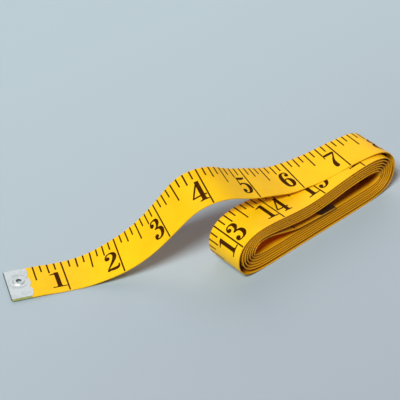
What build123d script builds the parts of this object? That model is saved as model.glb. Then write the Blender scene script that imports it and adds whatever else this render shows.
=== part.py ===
from build123d import *
import math
import os

# A soft sewing tape, sixty inches long, wound by hand into a flat hank with its first six inches running free. Sizes
# are millimetres. X runs along the hank, Y across it towards the side that the free end lies on, and Z up from the
# table. The origin is under the middle of the hank.

# Tape
INCH = 25.4
TAPE_LENGTH = 60 * INCH
TAPE_WIDTH = 0.75 * INCH
TAPE_THICKNESS = 0.45

# Places where the free end bends, as marks on the scale, and the slit left between the stretches on each side
CURL_MARK = 1.5
LIFT_MARK = 6.0
BEND_SLIT = 0.3

# Free end: slope, heading and roll of the tape in degrees at each half inch, from the mark where it leaves the table
# to the mark where it settles on the hank. The heading is measured from +X, and the far edge is the higher one.
ARCH_FIRST_MARK = 1.0
ARCH_MARK_STEP = 0.5
ARCH_SLOPE = (0, 19, 28, 42, 51, 46.5, 2, -28, -21, -21, -2)
ARCH_HEADING = (-25, -30, -29.5, -31, -33.5, -31, -16, -6.5, -6.3, -6.3, -9)
ARCH_ROLL = (0, 4.5, 11.5, 16.5, 21.5, 24, 17.5, 14, 11.5, 7, 0)
ARCH_SECTION_STEP = 0.125
TABLE_GAP = 0.15
TIP_SETTLE = (13.0, 22.0)

# Hank: how far the layers step in, from the outermost to the next one and then from each to the next
TURNS = 7
STEPS_RIGHT = (3.1, 1.56)
STEPS_LEFT = (2.4, 1.45)
STEPS_BOTTOM = (1.9, 1.28)
STEPS_TOP = (0.9, 1.22)
STEP_TOP_LEFT = 0.86
STEP_LEFT_CREST = 0.92
STEP_WAIST = 1.26

# Hank: corners of the outermost layers, on the middle of the tape. A bend's lower and upper radius are shares of its
# height.
HANK_LEFT = -48.85
HANK_RIGHT = 50.15
LEFT_TOP_HEIGHT = 21.2
LEFT_CREST = (-35.0, 22.6)
WAIST = (-6.0, 20.4)
RIGHT_CREST = (25.0, 24.56)
RIGHT_TOP_HEIGHT = 24.2
LEFT_SHARES = (0.55, 0.42)
RIGHT_SHARES = (0.48, 0.50)
LEFT_CREST_RADIUS = (40.0, 5.4)
RIGHT_CREST_RADIUS = 45.0
WAIST_RADIUS = 120.0

# Hank: the outermost layer lies askew on the top and comes into line along the right bend
TOP_DIP = (4.0, 0.05)
TOP_DIP_RADIUS = 45.0
SKEW = 8.0
SKEW_POWER = 2.1
IN_LINE_X = 24.0
SKEW_SECTION_STEP = 2.0

# Hank: the inner end leaves the top layers, dives across the eye and lies on the bottom layers
DIVE_TOP = (-31.0, 16.85)
DIVE_FOOT = (-13.0, 10.9)
DIVE_RADII = (12.0, 18.0)
INNER_END_HEIGHT = 9.65

# Metal ends: a sheet folded round the tape, with scallops along its inner edge
SHEET = 0.22
TIP_LENGTH = 10.0
TIP_INSET = 0.45
SCALLOPS = 3
SCALLOP_DEPTH = 1.0

# Eyelets through the metal ends
EYELET_X = 5.1
EYELET_Y = 2.0
EYELET_BORE_RADIUS = 1.15
EYELET_BARREL_RADIUS = 1.5
EYELET_HOLE_RADIUS = 1.52
EYELET_RIM_RADIUS = 2.8
EYELET_RIM_HEIGHT = 0.4
EYELET_BACK_RADIUS = 2.5
EYELET_BACK_HEIGHT = 0.25

# Points on the hank closer along the tape than this aren't measured against each other
GAP_SKIP = 15.0
GAP_STEP = 0.5


def at_mark(values, mark):
    """Smooth value at a mark of the scale, from the values at the free end's half inches."""
    place = (mark - ARCH_FIRST_MARK) / ARCH_MARK_STEP
    first = min(max(int(place), 0), len(values) - 2)
    u = place - first
    last = len(values) - 1
    a, b, c, d = (values[min(max(first + k, 0), last)] for k in (-1, 0, 1, 2))
    return b + 0.5 * u * (c - a + u * (2 * a - 5 * b + 4 * c - d + u * (3 * (b - c) + d - a)))


def tape_axes(mark):
    """Directions along and across the tape at a mark of the free end."""
    slope = math.radians(at_mark(ARCH_SLOPE, mark))
    heading = math.radians(at_mark(ARCH_HEADING, mark))
    roll = math.radians(at_mark(ARCH_ROLL, mark))
    along = Vector(math.cos(slope) * math.cos(heading), math.cos(slope) * math.sin(heading), math.sin(slope))
    level = Vector(-math.sin(heading), math.cos(heading), 0)
    across = level * math.cos(roll) + along.cross(level) * math.sin(roll)
    return along, across


def arch_centre(mark, steps_per_inch=64):
    """Middle of the tape at a mark of the arch, measured from the mark where it leaves the table."""
    steps = max(1, round((mark - ARCH_FIRST_MARK) * steps_per_inch))
    step = (mark - ARCH_FIRST_MARK) / steps
    centre = Vector(0, 0, 0)
    for i in range(steps):
        along, _ = tape_axes(ARCH_FIRST_MARK + (i + 0.5) * step)
        centre += along * (step * INCH)
    return centre


TABLE_LEVEL = TABLE_GAP + TAPE_THICKNESS / 2
TIP_LEVEL = TABLE_GAP + EYELET_BACK_HEIGHT + SHEET + TAPE_THICKNESS / 2
ARCH_REACH = arch_centre(LIFT_MARK)
LIFT_POINT = Vector(0, SKEW, TABLE_LEVEL + ARCH_REACH.Z)
TABLE_POINT = LIFT_POINT - ARCH_REACH


def free_plane(mark):
    """Plane square to the free end at a mark, with its X across the tape and its Z along it."""
    if mark >= ARCH_FIRST_MARK:
        along, across = tape_axes(mark)
        return Plane(TABLE_POINT + arch_centre(mark), x_dir=across, z_dir=along)
    along, across = tape_axes(ARCH_FIRST_MARK)
    settled = (mark * INCH - TIP_SETTLE[0]) / (TIP_SETTLE[1] - TIP_SETTLE[0])
    settled = min(max(settled, 0), 1)
    fall = (TIP_LEVEL - TABLE_LEVEL) * (1 - settled * settled * (3 - 2 * settled))
    centre = TABLE_POINT - along * ((ARCH_FIRST_MARK - mark) * INCH) + Vector(0, 0, fall)
    return Plane(centre, x_dir=across, z_dir=along)


def tape_section(plane):
    return plane * Rectangle(TAPE_WIDTH, TAPE_THICKNESS)


def free_stretch(start, end):
    """Tape from one mark of the free end to another."""
    count = math.ceil((end - start) / ARCH_SECTION_STEP)
    marks = [start + (end - start) * i / count for i in range(count + 1)]
    return loft([tape_section(free_plane(mark)) for mark in marks], ruled=True)


def stepped(steps, layer):
    """How far a layer lies inside the outermost one."""
    return steps[0] + (layer - 1) * steps[1] if layer > 0 else 0


def bottom_height(layer):
    return TAPE_THICKNESS / 2 + stepped(STEPS_BOTTOM, layer)


def right_corners(layer):
    """Top and bottom corner of a layer's right bend, each with its radius."""
    x = HANK_RIGHT - stepped(STEPS_RIGHT, layer)
    low = bottom_height(layer)
    high = RIGHT_TOP_HEIGHT - stepped(STEPS_TOP, layer)
    low_share, high_share = RIGHT_SHARES
    return [((x, high), high_share * (high - low)), ((x, low), low_share * (high - low))]


def left_corners(layer):
    """Bottom and top corner of a layer's left bend, each with its radius."""
    x = HANK_LEFT + stepped(STEPS_LEFT, layer)
    low = bottom_height(layer)
    high = LEFT_TOP_HEIGHT - layer * STEP_TOP_LEFT
    low_share, high_share = LEFT_SHARES
    return [((x, low), low_share * (high - low)), ((x, high), high_share * (high - low))]


def right_crest(layer):
    return (RIGHT_CREST[0], RIGHT_CREST[1] - stepped(STEPS_TOP, layer)), RIGHT_CREST_RADIUS


def top_corners(layer):
    """The left crest, the waist and the right crest of a layer that runs over the top."""
    left = (LEFT_CREST[0], LEFT_CREST[1] - layer * STEP_LEFT_CREST)
    waist = (WAIST[0], WAIST[1] - layer * STEP_WAIST)
    left_radius = LEFT_CREST_RADIUS[0] - layer * LEFT_CREST_RADIUS[1]
    return [(left, left_radius), (waist, WAIST_RADIUS), right_crest(layer + 1)]


def rounded_path(start, corners, end):
    """Straight runs joined by arcs, in the plane of the hank's turns."""
    points = [start] + [corner for corner, _ in corners] + [end]
    radii = [radius for _, radius in corners]
    return FilletPolyline(*[(x, 0, z) for x, z in points], radius=radii)


IN_LINE_POINT = (IN_LINE_X, TAPE_THICKNESS / 2)


def outer_path():
    """From the lift mark along the top, round the right bend and onto the table."""
    dip = ((TOP_DIP[0], LIFT_POINT.Z + TOP_DIP[1]), TOP_DIP_RADIUS)
    corners = [dip, right_crest(0), *right_corners(0)]
    return rounded_path((LIFT_POINT.X, LIFT_POINT.Z), corners, IN_LINE_POINT)


def inner_path(end_x):
    """All the other turns, then the inner end."""
    corners = []
    for turn in range(TURNS):
        corners += left_corners(turn)
        if turn < TURNS - 1:
            corners += top_corners(turn) + right_corners(turn + 1)
    corners += [(DIVE_TOP, DIVE_RADII[0]), (DIVE_FOOT, DIVE_RADII[1])]
    return rounded_path(IN_LINE_POINT, corners, (end_x, INNER_END_HEIGHT))


OUTER_PATH = outer_path()
WOUND_LENGTH = TAPE_LENGTH - LIFT_MARK * INCH
TRIAL_END_X = 0.0
TRIAL_PATH = inner_path(TRIAL_END_X)
END_X = TRIAL_END_X + WOUND_LENGTH - OUTER_PATH.length - TRIAL_PATH.length
INNER_PATH = inner_path(END_X)


def skew_point(distance):
    """Middle of the outermost layer, a distance along the tape from the lift mark."""
    point = OUTER_PATH.position_at(distance / OUTER_PATH.length)
    left = max(0, 1 - distance / OUTER_PATH.length)
    return point + Vector(0, SKEW * left**SKEW_POWER, 0)


def skew_plane(distance, reach=0.05):
    start = max(distance - reach, 0)
    end = min(distance + reach, OUTER_PATH.length)
    along = (skew_point(end) - skew_point(start)).normalized()
    across = (Vector(0, 1, 0) - along * along.Y).normalized()
    return Plane(skew_point(distance), x_dir=across, z_dir=along)


def make_hank():
    """The wound tape: the skew outer layer is a loft, and the turns inside it are one sweep."""
    first = BEND_SLIT / 2
    count = math.ceil((OUTER_PATH.length - first) / SKEW_SECTION_STEP)
    places = [first + (OUTER_PATH.length - first) * i / count for i in range(count)]
    sections = [tape_section(skew_plane(place)) for place in places]
    start = Plane(INNER_PATH.position_at(0), x_dir=(0, 1, 0), z_dir=INNER_PATH.tangent_at(0))
    sections.append(tape_section(start))
    outer_layer = loft(sections, ruled=True)
    turns = sweep(tape_section(start), path=INNER_PATH)
    expected = TAPE_WIDTH * TAPE_THICKNESS * INNER_PATH.length
    print(f"turns: volume {turns.volume:.1f}, section times length {expected:.1f}")
    return outer_layer + turns


def least_gap():
    """Least air between two layers of the hank, measured on points along the middle of the tape."""
    points = []
    for path in (OUTER_PATH, INNER_PATH):
        count = round(path.length / GAP_STEP)
        points += [path.position_at(i / count) for i in range(count)]
    skip = round(GAP_SKIP / GAP_STEP)
    places = [(point.X, point.Z) for point in points]
    nearest = min(
        math.dist(places[i], places[k]) for i in range(len(places)) for k in range(i + skip, len(places))
    )
    return nearest - TAPE_THICKNESS


def tip_leaf():
    """Outline of one leaf of a metal end: the fold at X 0 and the scallops along the inner edge."""
    half = TAPE_WIDTH / 2 - TIP_INSET
    pitch = 2 * half / SCALLOPS
    valley = TIP_LENGTH - SCALLOP_DEPTH
    edges = []
    for i in range(SCALLOPS):
        low = -half + i * pitch
        edges.append(ThreePointArc((valley, low), (TIP_LENGTH, low + pitch / 2), (valley, low + pitch)))
    edges.append(Polyline((valley, half), (0, half), (0, -half), (valley, -half)))
    hole = Pos(EYELET_X, EYELET_Y) * Circle(EYELET_HOLE_RADIUS)
    return make_face(edges) - hole


def make_tip():
    """Metal end, with its fold at X 0, the tape between its leaves and Z up from the middle of the tape."""
    inner = TAPE_THICKNESS / 2
    outer = inner + SHEET
    half = TAPE_WIDTH / 2 - TIP_INSET
    upper = extrude(Pos(0, 0, inner) * tip_leaf(), SHEET)
    lower = extrude(Pos(0, 0, -outer) * tip_leaf(), SHEET)
    ring = Circle(outer) - Circle(inner)
    bend = ring & (Pos(-outer, 0) * Rectangle(2 * outer, 2 * outer))
    fold = extrude(Plane.XZ.offset(-half) * bend, 2 * half)
    return upper + lower + fold


def make_eyelet():
    """Eyelet with a rounded rim on the upper leaf and a flat one under the lower leaf."""
    top = TAPE_THICKNESS / 2 + SHEET
    low = -top - EYELET_BACK_HEIGHT
    crown = (EYELET_BORE_RADIUS + EYELET_RIM_RADIUS) / 2
    rim = top + EYELET_RIM_HEIGHT
    outline = [
        Polyline(
            (EYELET_BORE_RADIUS, top + EYELET_RIM_HEIGHT / 2),
            (EYELET_BORE_RADIUS, low),
            (EYELET_BACK_RADIUS, low),
            (EYELET_BACK_RADIUS, -top),
            (EYELET_BARREL_RADIUS, -top),
            (EYELET_BARREL_RADIUS, top),
            (EYELET_RIM_RADIUS, top),
        ),
        ThreePointArc((EYELET_RIM_RADIUS, top), (crown, rim), (EYELET_BORE_RADIUS, top + EYELET_RIM_HEIGHT / 2)),
    ]
    profile = Plane.XZ * make_face(outline)
    return Pos(EYELET_X, EYELET_Y) * revolve(profile, Axis.Z)


def eyelet_hole():
    return Pos(EYELET_X, EYELET_Y) * Cylinder(EYELET_HOLE_RADIUS, 4 * TAPE_THICKNESS)


def main():
    front = free_plane(0)
    front_place = Plane(front.origin, x_dir=front.z_dir, z_dir=front.z_dir.cross(front.x_dir))
    end_point = INNER_PATH.position_at(1)
    end_along = INNER_PATH.tangent_at(1)
    rear_place = Plane(end_point, x_dir=-end_along, z_dir=Vector(0, 1, 0).cross(-end_along))

    slit = BEND_SLIT / 2 / INCH
    nodes = {
        "tape_hank": make_hank() - rear_place * eyelet_hole(),
        "tape_arch": free_stretch(CURL_MARK + slit, LIFT_MARK - slit),
        "tape_end": free_stretch(0, CURL_MARK - slit) - front_place * eyelet_hole(),
        "front_tip": front_place * make_tip(),
        "front_eyelet": front_place * make_eyelet(),
        "rear_tip": rear_place * make_tip(),
        "rear_eyelet": rear_place * make_eyelet(),
    }

    print(f"least gap between layers {least_gap():.3f}")
    print(f"tape: wound {OUTER_PATH.length + INNER_PATH.length:.2f}, inner end at X {END_X:.2f}")
    for name, mark in (("lift", LIFT_MARK), ("curl", CURL_MARK)):
        plane = free_plane(mark)
        pivot = plane.origin + plane.z_dir.cross(plane.x_dir) * (TAPE_THICKNESS / 2)
        print(f"{name} pivot {tuple(round(v, 3) for v in pivot)} axis {tuple(round(v, 4) for v in plane.x_dir)}")
    for name, place in (("front", front_place), ("rear", rear_place)):
        eyelet = place.from_local_coords(Vector(EYELET_X, EYELET_Y, 0))
        print(f"{name} eyelet {tuple(round(v, 3) for v in eyelet)}")

    os.makedirs("parts", exist_ok=True)
    for name, solid in nodes.items():
        export_step(solid, f"parts/{name}.step")


main()
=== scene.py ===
import math
import random

import bmesh
import bpy
import numpy as np
from bpy.props import FloatProperty, FloatVectorProperty, IntProperty, PointerProperty
from mathutils import Matrix, Vector


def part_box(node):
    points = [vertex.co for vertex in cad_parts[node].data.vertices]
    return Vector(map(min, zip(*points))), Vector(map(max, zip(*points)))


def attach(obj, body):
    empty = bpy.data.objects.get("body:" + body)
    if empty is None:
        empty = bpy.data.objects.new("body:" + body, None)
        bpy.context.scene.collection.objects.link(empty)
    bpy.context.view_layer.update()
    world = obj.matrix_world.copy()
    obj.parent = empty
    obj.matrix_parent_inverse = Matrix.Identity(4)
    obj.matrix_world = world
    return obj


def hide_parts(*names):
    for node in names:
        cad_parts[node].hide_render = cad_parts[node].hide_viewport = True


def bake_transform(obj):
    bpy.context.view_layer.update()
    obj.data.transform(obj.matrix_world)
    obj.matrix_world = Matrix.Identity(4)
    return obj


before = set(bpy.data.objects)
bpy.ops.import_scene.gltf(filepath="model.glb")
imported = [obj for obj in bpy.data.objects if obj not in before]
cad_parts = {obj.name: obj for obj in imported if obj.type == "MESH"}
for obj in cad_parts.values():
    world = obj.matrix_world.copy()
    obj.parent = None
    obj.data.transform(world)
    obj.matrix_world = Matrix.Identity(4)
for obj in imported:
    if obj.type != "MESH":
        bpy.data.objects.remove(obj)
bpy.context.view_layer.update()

bl_info = {
    "name": "Soft sewing tape",
    "version": (1, 0, 0),
    "blender": (4, 5, 0),
    "location": "View3D > Sidebar > Sewing tape",
    "description": "Dresses the packed sewing tape: wound ribbon, printed scales, metal ends and a plain stage",
    "category": "Object",
}

INCH = 0.0254
MM = 0.001

# Slope, heading and roll of the free end in degrees at each half inch from the 1 inch mark to the 6 inch mark
FREE_FIRST_MARK = 1.0
FREE_MARK_STEP = 0.5
FREE_SLOPE = (0, 19, 28, 42, 51, 46.5, 2, -28, -21, -21, -2)
FREE_HEADING = (-25, -30, -29.5, -31, -33.5, -31, -16, -6.5, -6.3, -6.3, -9)
FREE_ROLL = (0, 4.5, 11.5, 16.5, 21.5, 24, 17.5, 14, 11.5, 7, 4.5)
LIFT_MARK = 6.0
FREE_STEPS_PER_INCH = 64

# How far the wound layers step in, in millimetres, from the outermost to the next one and then from each to the next
STEPS_RIGHT = (3.1, 1.56)
STEPS_LEFT = (2.4, 1.45)
STEPS_BOTTOM = (1.9, 1.28)
STEPS_TOP = (0.72, 1.22)
LOWEST = 0.225

# The wound layers: how many, half the length of a straight bottom run, the height under which a run lies on the table,
# the height of the eye between the lower and the upper runs, and how far each turn is set back in the lower and the
# upper runs, all in millimetres
TURNS = 7
BOTTOM_REACH = 24
ON_TABLE = 0.3
EYE_HEIGHT = 12
LOWER_SET = 0.1
UPPER_SET = -0.08

# The bends at both ends of the outermost layer, in millimetres: place, top, and how far each layer's top lies lower on
# the left. Their roundings at the bottom and the top are shares of the height, and a control point stands CORNER_CUT of
# a rounding away from its corner.
LEFT_END = -49.12
LEFT_TOP = 21.99
LEFT_DROP = 0.84
LEFT_ROUND = (0.545, 0.41)
RIGHT_END = 50.42
RIGHT_TOP = 24.2
RIGHT_ROUND = (0.50, 0.52)
CORNER_CUT = 0.57

# Over the top of a layer, in millimetres: place, height and how far each layer lies lower, at the left crest, the waist
# and the right crest
CRESTS = ((-35, 23.64, 0.92), (-6, 20.32, 1.26), (25, 23.95, 1.22))

# The outermost run from the lift mark to the right bend, the inner end's way down into the eye, and the places at which
# it goes straight on, in millimetres
OUTER_RUN = ((5, 22.85), (11, 22.98), (18, 23.5), (25, 24.4), (33, 24.42))
INNER_RUN = ((-34.5, 16.75), (-30, 16.4), (-24, 14.5), (-18, 12.5), (-13, 11.05))
INNER_STRAIGHT = (-7, -1)

# How fast the outermost layer's skew fades, the run over which its roll fades, and how steeply the inner end falls
SKEW_FADE = 2.17
ROLL_FADE = 1.2 * INCH
INNER_FALL = 0.0536

# Heights of the ribbon's middle on the table and in the front metal end, and where it rises from one to the other
TABLE_LEVEL = 0.375 * MM
TIP_LEVEL = 0.845 * MM
RISE_START = 0.013
RISE_RUN = 0.009

# Place of an eyelet from its end and to the side, its height over the ribbon's middle at the inner end, and the length
# of the punch for its hole
EYELET_REACH = 5.1 * MM
EYELET_SIDE = 2 * MM
EYELET_OVER = 0.075 * MM
PUNCH_DEPTH = 3 * MM

# Distance from the fold over which the pressed ring of a metal end rises, and the height of its lip against the ring's
RING_RISE = 1.2 * MM
LIP_SHARE = 0.3

# Roughness of the polished metal, and radii between which the painted shade in a bore ends
SHEET_ROUGHNESS = {"front": 0.27, "rear": 0.38}
EYELET_ROUGHNESS = {"front": 0.4, "rear": 0.34}
BORE_SHADE = (0.00117, 0.00128)

# The table lies just under the print on the lowest layer
TABLE_TOP = -0.04 * MM

# Marks at which the ribbon is divided into pieces. An inch line is printed over each seam and belongs to the piece that
# ends there, with a slack in inches. No row of vertices comes nearer to a seam than the gap in metres.
LAID_SEAM = 4.0
WOUND_SEAM = 7.0
SEAM_SLACK = 0.001
ROW_GAP = 0.0001

# Pieces of the ribbon with the marks at which they start and end
INCHES = 60
STRETCHES = (
    ("hank", WOUND_SEAM, INCHES),
    ("arch", LAID_SEAM, WOUND_SEAM),
    ("end", 0.0, LAID_SEAM),
)

# Stretches over which the free end bends, as marks on the scale
LIFT_BEND = (6.55, 5.45)
CURL_BEND = (2.0, 1.05)

# Lengths of the marks: of the inch scale as shares of the width, by eighths, and of the metric one by millimetres. The
# metal ends cover the first and the last of them.
INCH_MARKS = {0: 1.0, 4: 0.48, 2: 0.31, 6: 0.31}
EIGHTH_MARK = 0.23
FIRST_EIGHTH = 4
METRIC_MARKS = {0: 0.0052, 5: 0.0038}
MILLIMETRE_MARK = 0.0026
FIRST_MILLIMETRE = 11

# Centimetre numerals: the first and the last, and the stretch of short ones and of those with three digits
METRIC_NUMERALS = (2, 150)
METRIC_STRETCH = 0.95
NARROW_STRETCH = 0.64

# Where the tones of the coating change, as shares of the length and as shares of the width from the middle. Painted
# shade takes over on the reverse face of the hank and on the inner turns, darker in the middle of the width than along
# the edges.
HANK_REVERSE = (0.13, 0.14)
INNER_TURNS = (0.275, 0.30)
# From this share of the length on, the middle of the inner turns takes a painted glow in place of the painted shade
INNER_END = (0.933, 0.945)
CALM_EDGES = (0.10, 0.13)
# Painted shade on the rim under the front metal end, fading out between these shares of the length
RIM_SHADE = (0.0056, 0.0060)
# Painted shade across the inner turns: the darker middle tone up to the first share from the middle, the lighter edge
# tone beyond the second
SHADE_ACROSS = (0.35, 0.46)
CUT_EDGE = (0.487, 0.497)


def measure(name, description, default):
    """A length, as a setting."""
    return FloatProperty(name=name, description=description, default=default, unit="LENGTH")


def amount(name, description, default, subtype="NONE"):
    """A plain number or an angle, as a setting."""
    return FloatProperty(name=name, description=description, default=default, subtype=subtype)


def tint(name, description, default):
    """A colour, as a setting."""
    return FloatVectorProperty(name=name, description=description, default=default, subtype="COLOR")


def vector(name, description, default, subtype):
    """A place or a direction, as a setting."""
    return FloatVectorProperty(name=name, description=description, default=default, subtype=subtype)


class RibbonSettings(bpy.types.PropertyGroup):
    """Sizes and colours of the coated ribbon."""

    width: measure("Width", "Width of the ribbon", 0.01905)
    thickness: measure("Thickness", "Thickness with coating", 0.00045)
    length: measure("Length", "Length from end to end", 1.524)
    edge_radius: measure("Edge radius", "Rounding of the cut edges", 0.00012)
    skew: measure("Skew", "How far the outermost layer lies to the side", 0.008)
    looseness: measure("Looseness", "How far a layer strays from its place", 0.0001)
    seed: IntProperty(name="Seed", description="Seed of the hand wound layers", default=7)
    hole: measure("Hole", "Radius of the holes for the eyelets", 0.00148)
    thread: measure("Thread", "Distance between the threads under the coating", 0.0007)
    cut_thread: measure("Thread end pitch", "Distance between the thread ends in the cut edges", 0.0010)
    coat_colour: tint("Coating", "Colour of the coating", (0.99, 0.573, 0.008))
    deep_colour: tint("Deep tone", "Colour where the coating is thick", (0.96, 0.52, 0.006))
    # Painted shade on the inner turns and the hank's reverse face: a lighter tone along the edges and a darker one in
    # the middle
    inner_colour: tint("Inner turns", "Colour of the inner turns along their edges", (0.76, 0.35, 0.005))
    unbleached_colour: tint("Unbleached", "Colour of the inner turns where no light falls", (0.48, 0.13, 0.004))
    # Painted glow: a bright orange painted on the middle of the inner end, which lies in shade
    glow_colour: tint("Inner end", "Colour of the inner end where no light falls", (0.95, 0.30, 0.003))
    edge_colour: tint("Cut edge", "Colour of the cut edges", (1.0, 0.50, 0.014))
    # Painted shade on the ribbon's rim under the front metal end
    tucked_colour: tint("Rim", "Colour of the rim under the front end", (0.34, 0.36, 0.10))
    thread_colour: tint("Thread ends", "Colour of the core's threads in the cut edges", (0.66, 0.17, 0.006))


class ScaleSettings(bpy.types.PropertyGroup):
    """Sizes and colours of the printed scales."""

    line: measure("Line", "Thickness of an inch mark", 0.0007)
    margin: measure("Margin", "Bare strip between the edge and the marks", 0.00012)
    near_margin: measure("Near margin", "Gap between an inch line and the plain edge", 0.0004)
    numeral: measure("Numeral", "Height of the inch numerals", 0.0099)
    numeral_width: amount("Numeral width", "Stretch of the inch numerals", 1.12)
    numeral_gap: measure("Numeral gap", "Gap between a numeral and its mark", 0.0006)
    numeral_centre: measure("Numeral place", "Middle of the inch numerals across the ribbon", -0.0013)
    metric_line: measure("Metric line", "Thickness of a millimetre mark", 0.00034)
    metric_numeral: measure("Metric numeral", "Height of the centimetre numerals", 0.007)
    metric_low: measure("Metric foot", "Foot of the centimetre numerals across the ribbon", -0.0046)
    film: measure("Ink film", "Height of the ink", 0.00003)
    ink_colour: tint("Ink", "Colour of the ink", (0.050, 0.012, 0.0008))
    worn_colour: tint("Worn ink", "Colour where the ink is thin", (0.088, 0.028, 0.002))


class MetalSettings(bpy.types.PropertyGroup):
    """Sizes and colours of the metal ends."""

    sheet: measure("Sheet", "Thickness of the sheet", 0.00022)
    length: measure("Length", "Length of a leaf", 0.010)
    inset: measure("Inset", "How far the leaf stands in from the edge", 0.00045)
    shift: measure("Shift", "How far the leaf sits to one side, at the front towards the ticks", 0.00035)
    hole: measure("Hole", "Radius of the hole under the eyelet", 0.0016)
    scallops: IntProperty(name="Scallops", description="Scallops along the inner edge", default=3)
    scallop_depth: measure("Scallop depth", "Depth of a scallop", 0.001)
    ring_radius: measure("Ring radius", "Radius of the pressed ring", 0.0041)
    ring_height: measure("Ring height", "Height of the pressed ring", 0.0002)
    ring_width: measure("Ring width", "Half the width of the pressed ring", 0.00042)
    lip_width: measure("Lip width", "Width of the raised lip along the scallops", 0.00035)
    edge_radius: measure("Edge radius", "Rounding of the sheet's edges", 0.00005)
    bright_colour: tint("Bright metal", "Colour of the bare metal", (0.83, 0.82, 0.80))
    dull_colour: tint("Dull metal", "Colour of the dulled metal", (0.66, 0.65, 0.62))
    # The rear end's two colours are painted shade, for the dark eye that it lies in
    tarnish_colour: tint("Tarnish", "Colour of the tarnished rear end", (0.18, 0.08, 0.035))
    stain_colour: tint("Stain", "Darkest tone of the rear end", (0.07, 0.03, 0.015))
    # A dark tone painted round the folds of the metal ends, and painted shade in the bores of the eyelets
    grime_colour: tint("Grime", "Colour of the grime in the folds and bores", (0.05, 0.052, 0.05))


class StageSettings(bpy.types.PropertyGroup):
    """Camera, light and table."""

    camera_place: vector("Camera place", "Where the camera stands", (-0.41867, -0.39221, 0.48623), "TRANSLATION")
    camera_target: vector("Camera target", "Point in the picture's middle", (-0.02292, 0.04409, 0.0), "TRANSLATION")
    lens: amount("Lens", "Focal length on a 36 mm sensor", 149.6)
    key_direction: vector("Key direction", "Way to the key light", (-0.73, -0.30, 1.0), "DIRECTION")
    key_strength: amount("Key strength", "Strength of the key light", 3.46)
    key_colour: tint("Key colour", "Colour of the key light", (0.944, 1.0, 1.0))
    key_spread: amount("Key spread", "Size of the key light in the sky", 0.32, "ANGLE")
    fill_direction: vector("Fill direction", "Way to the fill light", (1.0, 1.14, 1.0), "DIRECTION")
    fill_strength: amount("Fill strength", "Strength of the fill light", 1.40)
    fill_colour: tint("Fill colour", "Colour of the fill light", (1.0, 0.785, 0.79))
    fill_spread: amount("Fill spread", "Size of the fill light in the sky", 1.1, "ANGLE")
    sky_strength: amount("Sky strength", "Strength of the soft light", 0.04)
    table_colour: tint("Table", "Colour of the table", (0.461, 0.555, 0.600))
    # Painted shade: the table darkens towards its near side
    near_colour: tint("Near table", "Colour of the table's near side", (0.368, 0.406, 0.451))
    pale_colour: tint("Pale side", "Colour of the surroundings on the fill's side", (0.82, 0.90, 0.95))
    dim_colour: tint("Dim side", "Colour of the surroundings on the other sides", (0.20, 0.215, 0.23))


class SewingTapeSettings(bpy.types.PropertyGroup):
    """All settings of the sewing tape."""

    ribbon: PointerProperty(type=RibbonSettings)
    scale: PointerProperty(type=ScaleSettings)
    metal: PointerProperty(type=MetalSettings)
    stage: PointerProperty(type=StageSettings)


class TapeLine:
    """Middle line of the whole ribbon, with the ways along and across it."""

    def __init__(self, place, centre, along, across):
        self.place, self.centre, self.along, self.across = place, centre, along, across

    def columns(self, values, places):
        """Values of the line at distances from the front end."""
        return np.stack([np.interp(places, self.place, values[:, i]) for i in range(3)], axis=1)

    def at(self, places):
        """Middle, across and outward vectors at distances from the front end."""
        along = self.columns(self.along, places)
        along /= np.linalg.norm(along, axis=1)[:, None]
        across = self.columns(self.across, places)
        across -= along * np.sum(across * along, axis=1)[:, None]
        across /= np.linalg.norm(across, axis=1)[:, None]
        return self.columns(self.centre, places), across, np.cross(along, across)


def curve_between(a, b, c, d, u):
    """Value at a share between b and c on a smooth curve through four values."""
    return b + 0.5 * u * (c - a + u * (2 * a - 5 * b + 4 * c - d + u * (3 * (b - c) + d - a)))


def eased(share):
    """A share that starts and ends softly."""
    share = np.clip(share, 0, 1)
    return share * share * (3 - 2 * share)


def at_marks(values, marks):
    """Smooth values at marks of the scale, from the values at the free end's half inches."""
    values = np.array(values, float)
    places = (np.asarray(marks) - FREE_FIRST_MARK) / FREE_MARK_STEP
    last = len(values) - 1
    first = np.clip(np.floor(places).astype(int), 0, last - 1)
    around = (values[np.clip(first + k, 0, last)] for k in (-1, 0, 1, 2))
    return curve_between(*around, places - first)


def free_axes(marks):
    """Ways along and across the free end at marks of the scale."""
    slope, heading, roll = (np.radians(at_marks(v, marks)) for v in (FREE_SLOPE, FREE_HEADING, FREE_ROLL))
    flat = np.cos(slope)
    along = np.stack([flat * np.cos(heading), flat * np.sin(heading), np.sin(slope)], axis=1)
    level = np.stack([-np.sin(heading), np.cos(heading), np.zeros_like(heading)], axis=1)
    across = level * np.cos(roll)[:, None] + np.cross(along, level) * np.sin(roll)[:, None]
    return along, across


def free_line(ribbon):
    """The free end, from the front end to the mark where it settles on the hank."""
    count = round((LIFT_MARK - FREE_FIRST_MARK) * FREE_STEPS_PER_INCH)
    marks = np.linspace(FREE_FIRST_MARK, LIFT_MARK, count + 1)
    middles = (marks[1:] + marks[:-1]) / 2
    steps = free_axes(middles)[0] * (INCH / FREE_STEPS_PER_INCH)
    reach = np.vstack([np.zeros(3), np.cumsum(steps, axis=0)])
    lift = np.array([0.0, ribbon.skew, TABLE_LEVEL + reach[-1, 2]])
    centre = lift - reach[-1] + reach
    along, across = free_axes(marks)

    flat_count = round(FREE_FIRST_MARK * FREE_STEPS_PER_INCH)
    flat_marks = np.linspace(0, FREE_FIRST_MARK, flat_count + 1)[:-1]
    flat = centre[0] - along[0] * ((FREE_FIRST_MARK - flat_marks) * INCH)[:, None]
    flat[:, 2] += (TIP_LEVEL - TABLE_LEVEL) * (1 - eased((flat_marks * INCH - RISE_START) / RISE_RUN))
    centre = np.vstack([flat, centre])
    along = np.vstack([np.repeat(along[:1], flat_count, axis=0), along])
    across = np.vstack([np.repeat(across[:1], flat_count, axis=0), across])
    return np.concatenate([flat_marks, marks]) * INCH, centre, along, across


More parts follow.
